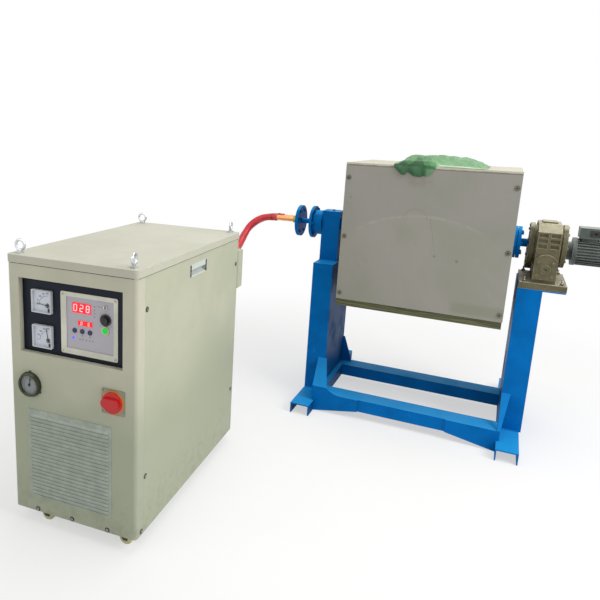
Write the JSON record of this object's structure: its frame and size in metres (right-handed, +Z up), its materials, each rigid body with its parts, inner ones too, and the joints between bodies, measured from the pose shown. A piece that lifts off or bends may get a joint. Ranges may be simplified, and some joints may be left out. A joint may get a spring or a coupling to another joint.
{
  "type": "tilting induction melting furnace",
  "caption": "Box-shaped tilting induction melting furnace on a channel-steel stand with a worm-gear motor drive, joined by water-cooled cables to a castored power cabinet.",
  "frame": {"origin": "on the floor, at the middle of the footprint", "axes": "+X to the operator's right, along the tilting axis; +Y to the back; +Z up"},
  "size_m": [2.1161, 2.3188, 1.3626],
  "materials": {
    "cabinet_paint": "satin",
    "front_paint": "satin",
    "panel_paint": "satin",
    "meter_case": "gloss",
    "module_face": "satin",
    "gauge_case": "satin",
    "isolator_yellow": "satin",
    "isolator_red": "gloss",
    "grille_paint": "satin",
    "bright_metal": "polished",
    "screw_steel": "satin",
    "brass": "satin",
    "core_steel": "matt",
    "can_aluminium": "satin",
    "frame_blue": "gloss",
    "cable_rubber": "satin",
    "gearbox_paint": "satin",
    "motor_paint": "satin",
    "machined_steel": "satin",
    "furnace_paint": "satin",
    "slab_board": "matt",
    "base_board": "matt",
    "crucible_clay": "matt",
    "refractory": "matt",
    "coil_copper": "satin",
    "cloth_green": "matt",
    "black_plastic": "satin",
    "toggle_metal": "polished",
    "button_green": "gloss",
    "key_grey": "gloss",
    "fork_steel": "satin",
    "wheel_nylon": "satin"
  },
  "bodies": {
    "stand": {"cabinet_base": "cabinet_paint", "cabinet_front": "front_paint", "cabinet_sides": "cabinet_paint", "cabinet_back": "cabinet_paint", "cabinet_lid": "cabinet_paint", "instrument_panel": "panel_paint", "panel_meters": "meter_case", "control_module": "module_face", "pressure_gauge": "gauge_case", "isolator_plate": "isolator_yellow", "intake_grille": "grille_paint", "lifting_eyes": "bright_metal", "side_pulls": "bright_metal", "terminal_box": "cabinet_paint", "brass_fittings": "brass", "cabinet_screws": "screw_steel", "transformer": "core_steel", "capacitor_bank": "can_aluminium", "inverter_cooling": "can_aluminium", "floor_feet": "frame_blue", "cross_rails": "frame_blue", "side_columns": "frame_blue", "bearing_housing": "frame_blue", "cable_flange": "frame_blue", "water_cable_near": "cable_rubber", "water_cable_far": "cable_rubber", "gearbox_housing": "gearbox_paint", "motor_housing": "motor_paint"},
    "furnace": {"furnace_panels": "furnace_paint", "top_slab": "slab_board", "bottom_slab": "base_board", "crucible": "crucible_clay", "furnace_lining": "refractory", "induction_coil": "coil_copper", "left_trunnion": "machined_steel", "right_trunnion": "machined_steel", "worm_wheel": "machined_steel", "furnace_screws": "screw_steel"},
    "cloth": {"cover_cloth": "cloth_green"},
    "worm": {"worm_shaft": "machined_steel"},
    "rotor": {"motor_rotor": "machined_steel"},
    "fan": {"fan_rotor": "black_plastic"},
    "upper_needle": {"upper_meter_needle": "black_plastic"},
    "lower_needle": {"lower_meter_needle": "black_plastic"},
    "pressure_needle": {"gauge_needle": "black_plastic"},
    "knob": {"power_knob": "black_plastic"},
    "toggle": {"toggle_lever": "toggle_metal"},
    "start": {"start_button": "button_green"},
    "left_key": {"key_left": "key_grey"},
    "middle_key": {"key_middle": "key_grey"},
    "right_key": {"key_right": "key_grey"},
    "isolator": {"isolator_handle": "isolator_red"},
    "fork_front_left": {"castor_fork_front_left": "fork_steel"},
    "wheel_front_left": {"castor_wheel_front_left": "wheel_nylon"},
    "fork_front_right": {"castor_fork_front_right": "fork_steel"},
    "wheel_front_right": {"castor_wheel_front_right": "wheel_nylon"},
    "fork_back_left": {"castor_fork_back_left": "fork_steel"},
    "wheel_back_left": {"castor_wheel_back_left": "wheel_nylon"},
    "fork_back_right": {"castor_fork_back_right": "fork_steel"},
    "wheel_back_right": {"castor_wheel_back_right": "wheel_nylon"}
  },
  "joints": [
    {"name": "furnace_tilt", "type": "hinge", "parent": "stand", "child": "furnace", "pos_m": [0, 0.601, 0.97], "axis": [1, 0, 0], "range_deg": [0, 95]},
    {"name": "worm_spin", "type": "hinge", "parent": "stand", "child": "worm", "pos_m": [0.7095, 0.601, 0.874], "axis": [0, 1, 0], "range_deg": [0, 1900]},
    {"name": "motor_spin", "type": "hinge", "parent": "stand", "child": "rotor", "pos_m": [0.8345, 0.795, 0.924], "axis": [1, 0, 0], "range_deg": [0, 28500]},
    {"name": "cloth_lift", "type": "slide", "parent": "furnace", "child": "cloth", "axis": [0, 0, 1], "range_m": [0, 0.4]},
    {"name": "fan_spin", "type": "hinge", "parent": "stand", "child": "fan", "pos_m": [-0.76352, -1.10357, 0.2875], "axis": [-0.0623, 0.9981, 0], "continuous": true},
    {"name": "upper_meter_swing", "type": "hinge", "parent": "stand", "child": "upper_needle", "pos_m": [-0.85276, -1.11866, 0.8375], "axis": [0.0623, -0.9981, 0], "range_deg": [-83, 7], "stiffness_Nm_per_rad": 0.002},
    {"name": "lower_meter_swing", "type": "hinge", "parent": "stand", "child": "lower_needle", "pos_m": [-0.85276, -1.11866, 0.7135], "axis": [0.0623, -0.9981, 0], "range_deg": [-9.5, 80.5], "stiffness_Nm_per_rad": 0.002},
    {"name": "gauge_swing", "type": "hinge", "parent": "stand", "child": "pressure_needle", "pos_m": [-0.9177, -1.14576, 0.549], "axis": [0.0623, -0.9981, 0], "range_deg": [-125, 145], "stiffness_Nm_per_rad": 0.002},
    {"name": "power_turn", "type": "hinge", "parent": "stand", "child": "knob", "pos_m": [-0.62704, -1.09907, 0.82], "axis": [0.0623, -0.9981, 0], "range_deg": [-150, 150]},
    {"name": "toggle_flip", "type": "hinge", "parent": "stand", "child": "toggle", "pos_m": [-0.62723, -1.09607, 0.862], "axis": [0.9981, 0.0623, 0], "range_deg": [0, 30]},
    {"name": "start_press", "type": "slide", "parent": "stand", "child": "start", "axis": [-0.0623, 0.9981, 0], "range_m": [0, 0.004], "stiffness_N_per_m": 500, "springref_m": -0.004},
    {"name": "left_key_press", "type": "slide", "parent": "stand", "child": "left_key", "axis": [-0.0623, 0.9981, 0], "range_m": [0, 0.003], "stiffness_N_per_m": 300, "springref_m": -0.004},
    {"name": "middle_key_press", "type": "slide", "parent": "stand", "child": "middle_key", "axis": [-0.0623, 0.9981, 0], "range_m": [0, 0.003], "stiffness_N_per_m": 300, "springref_m": -0.004},
    {"name": "right_key_press", "type": "slide", "parent": "stand", "child": "right_key", "axis": [-0.0623, 0.9981, 0], "range_m": [0, 0.003], "stiffness_N_per_m": 300, "springref_m": -0.004},
    {"name": "isolator_turn", "type": "hinge", "parent": "stand", "child": "isolator", "pos_m": [-0.58431, -1.11744, 0.5505], "axis": [-0.0623, 0.9981, 0], "range_deg": [0, 90]},
    {"name": "swivel_front_left", "type": "hinge", "parent": "stand", "child": "fork_front_left", "pos_m": [-0.91597, -1.09305, 0.0657], "axis": [0, 0, 1], "continuous": true},
    {"name": "roll_front_left", "type": "hinge", "parent": "fork_front_left", "child": "wheel_front_left", "pos_m": [-0.89102, -1.09149, 0.025], "axis": [-0.0623, 0.9981, 0], "continuous": true},
    {"name": "swivel_front_right", "type": "hinge", "parent": "stand", "child": "fork_front_right", "pos_m": [-0.58562, -1.07244, 0.0657], "axis": [0, 0, 1], "continuous": true},
    {"name": "roll_front_right", "type": "hinge", "parent": "fork_front_right", "child": "wheel_front_right", "pos_m": [-0.56067, -1.07088, 0.025], "axis": [-0.0623, 0.9981, 0], "continuous": true},
    {"name": "swivel_back_left", "type": "hinge", "parent": "stand", "child": "fork_back_left", "pos_m": [-0.96654, -0.28262, 0.0657], "axis": [0, 0, 1], "continuous": true},
    {"name": "roll_back_left", "type": "hinge", "parent": "fork_back_left", "child": "wheel_back_left", "pos_m": [-0.94159, -0.28106, 0.025], "axis": [-0.0623, 0.9981, 0], "continuous": true},
    {"name": "swivel_back_right", "type": "hinge", "parent": "stand", "child": "fork_back_right", "pos_m": [-0.63618, -0.26201, 0.0657], "axis": [0, 0, 1], "continuous": true},
    {"name": "roll_back_right", "type": "hinge", "parent": "fork_back_right", "child": "wheel_back_right", "pos_m": [-0.61123, -0.26045, 0.025], "axis": [-0.0623, 0.9981, 0], "continuous": true}
  ],
  "couplings": [
    {"joint": "worm_spin", "follows": "furnace_tilt", "ratio": 20},
    {"joint": "motor_spin", "follows": "furnace_tilt", "ratio": 300}
  ]
}
